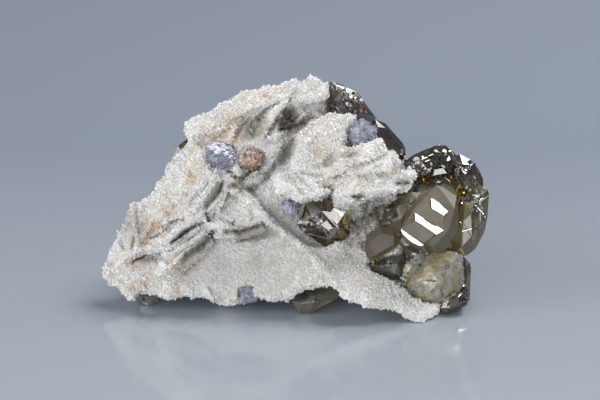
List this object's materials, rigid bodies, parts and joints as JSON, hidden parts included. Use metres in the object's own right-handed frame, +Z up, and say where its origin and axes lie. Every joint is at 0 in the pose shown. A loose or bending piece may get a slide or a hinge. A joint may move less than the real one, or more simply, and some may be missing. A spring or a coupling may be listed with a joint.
{
  "type": "cleiophane sphalerite mineral specimen",
  "caption": "Hand-size mineral specimen: glassy olive sphalerite crystals and grey galena grains on a boxwork of thin sugar-coated white quartz blades, lying on its own feet.",
  "frame": {"origin": "on the ground under the middle of the specimen's box", "axes": "+Z up, the show side faces -Y, +X to the right of somebody who looks at the show side"},
  "size_m": [0.0776, 0.0432, 0.0422],
  "materials": {
    "quartz": "sugary white druse of tiny clear points, greyer where thin, with orange iron stains",
    "sphalerite": "glassy, see-through olive to amber, with mirror-flat and finely grooved faces",
    "galena": "lavender grey metal lustre, broken into tiny cleavage steps",
    "carbonate": "dull pinkish brown, iron-stained, with pale crumbs"
  },
  "bodies": {
    "root": {"quartz_matrix": "quartz", "sphalerite_right_cluster": "sphalerite", "sphalerite_middle": "sphalerite", "sphalerite_rear_top": "sphalerite", "sphalerite_underside": "sphalerite", "sphalerite_lower_left": "sphalerite", "sphalerite_left_rear": "sphalerite", "sphalerite_far_side": "sphalerite", "galena_left": "galena", "galena_top": "galena", "galena_middle": "galena", "galena_low": "galena", "carbonate_grain": "carbonate"}
  },
  "joints": []
}
